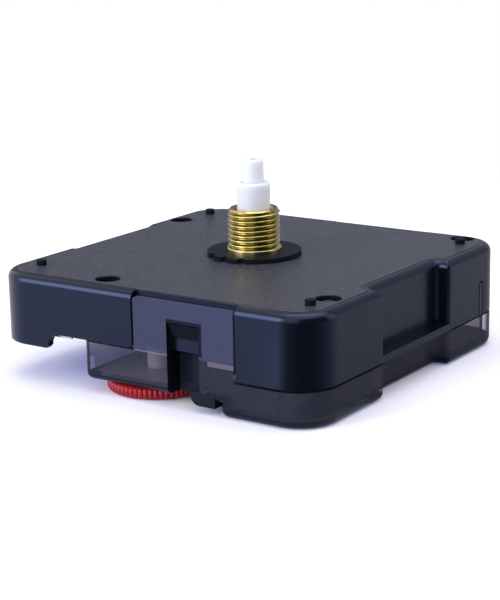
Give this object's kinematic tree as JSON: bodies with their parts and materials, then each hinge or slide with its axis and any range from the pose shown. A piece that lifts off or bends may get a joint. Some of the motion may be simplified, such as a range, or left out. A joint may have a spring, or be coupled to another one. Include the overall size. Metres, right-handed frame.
{
  "type": "quartz clock movement",
  "caption": "Battery clock movement with a threaded dial bush, coaxial hour and minute hand tubes, a setting knob on the back and a gear train, stepping motor and circuit inside.",
  "frame": {"origin": "on the hand shafts' axis, in the plane that the back rests on", "axes": "+Z out of the dial side along the hand shafts, +X from the battery tray towards the coil, -Y the wall with the knob"},
  "size_m": [0.056, 0.056, 0.0306],
  "materials": {
    "case_black": "glossy walls, finely textured dial-side plate",
    "cover_smoky": "polished, smoky see-through",
    "bush_brass": "machined",
    "hand_white": "moulded",
    "knob_red": "moulded",
    "gear_cream": "moulded",
    "gear_grey": "moulded",
    "plate_plastic": "moulded",
    "steel": "ground",
    "soft_iron": "stamped",
    "magnet": "sintered",
    "bobbin_black": "moulded",
    "copper_wire": "enamelled wire",
    "board": "bare laminate",
    "epoxy": "poured",
    "can_metal": "drawn",
    "spring_metal": "nickel-plated strip"
  },
  "bodies": {
    "case": {"front_case": "case_black", "back_cover": "cover_smoky", "threaded_bushing": "bush_brass", "middle_plate": "plate_plastic", "stator": "soft_iron", "coil_core": "soft_iron", "coil_bobbin": "bobbin_black", "coil_winding": "copper_wire", "circuit_board": "board", "chip_cap": "epoxy", "quartz_crystal": "can_metal", "negative_contact": "spring_metal", "positive_contact": "spring_metal", "coil_terminal_inner": "spring_metal", "coil_terminal_outer": "spring_metal", "intermediate_pin": "steel", "third_pin": "steel", "minute_pin": "steel"},
    "rotor": {"rotor_pinion": "gear_cream", "rotor_magnet": "magnet"},
    "intermediate": {"intermediate_wheel": "gear_cream"},
    "second": {"second_wheel": "gear_cream", "second_arbor": "steel"},
    "third": {"third_wheel": "gear_cream"},
    "centre": {"centre_wheel": "gear_cream"},
    "setting": {"setting_knob": "knob_red", "setting_gear": "gear_grey"},
    "motion": {"minute_wheel": "gear_grey"},
    "minute": {"minute_arbor": "hand_white"},
    "hour": {"hour_wheel": "hand_white"}
  },
  "joints": [
    {"name": "rotor_spin", "type": "hinge", "parent": "case", "child": "rotor", "pos_m": [0.01329, -0.01022, 0.005], "axis": [0, 0, 1], "continuous": true},
    {"name": "intermediate_spin", "type": "hinge", "parent": "case", "child": "intermediate", "pos_m": [0.00831, -0.00346, 0.005], "axis": [0, 0, 1], "continuous": true},
    {"name": "second_spin", "type": "hinge", "parent": "case", "child": "second", "pos_m": [0, 0, 0.005], "axis": [0, 0, 1], "continuous": true},
    {"name": "third_spin", "type": "hinge", "parent": "case", "child": "third", "pos_m": [0.00147, 0.00836, 0.005], "axis": [0, 0, 1], "continuous": true},
    {"name": "centre_spin", "type": "hinge", "parent": "case", "child": "centre", "pos_m": [0, 0, 0.01], "axis": [0, 0, 1], "continuous": true},
    {"name": "setting_spin", "type": "hinge", "parent": "case", "child": "setting", "pos_m": [-0.00335, -0.0203, 0.001], "axis": [0, 0, 1], "continuous": true},
    {"name": "motion_spin", "type": "hinge", "parent": "case", "child": "motion", "pos_m": [0.00221, -0.00934, 0.012], "axis": [0, 0, 1], "continuous": true},
    {"name": "minute_spin", "type": "hinge", "parent": "case", "child": "minute", "pos_m": [0, 0, 0.012], "axis": [0, 0, 1], "continuous": true},
    {"name": "hour_spin", "type": "hinge", "parent": "case", "child": "hour", "pos_m": [0, 0, 0.013], "axis": [0, 0, 1], "continuous": true}
  ],
  "couplings": [
    {"joint": "intermediate_spin", "follows": "rotor_spin", "ratio": -0.16667},
    {"joint": "second_spin", "follows": "rotor_spin", "ratio": 0.033333},
    {"joint": "third_spin", "follows": "rotor_spin", "ratio": -0.0044444},
    {"joint": "centre_spin", "follows": "rotor_spin", "ratio": 0.00055556},
    {"joint": "motion_spin", "follows": "setting_spin", "ratio": -0.6},
    {"joint": "minute_spin", "follows": "setting_spin", "ratio": 2.4},
    {"joint": "hour_spin", "follows": "setting_spin", "ratio": 0.2}
  ]
}
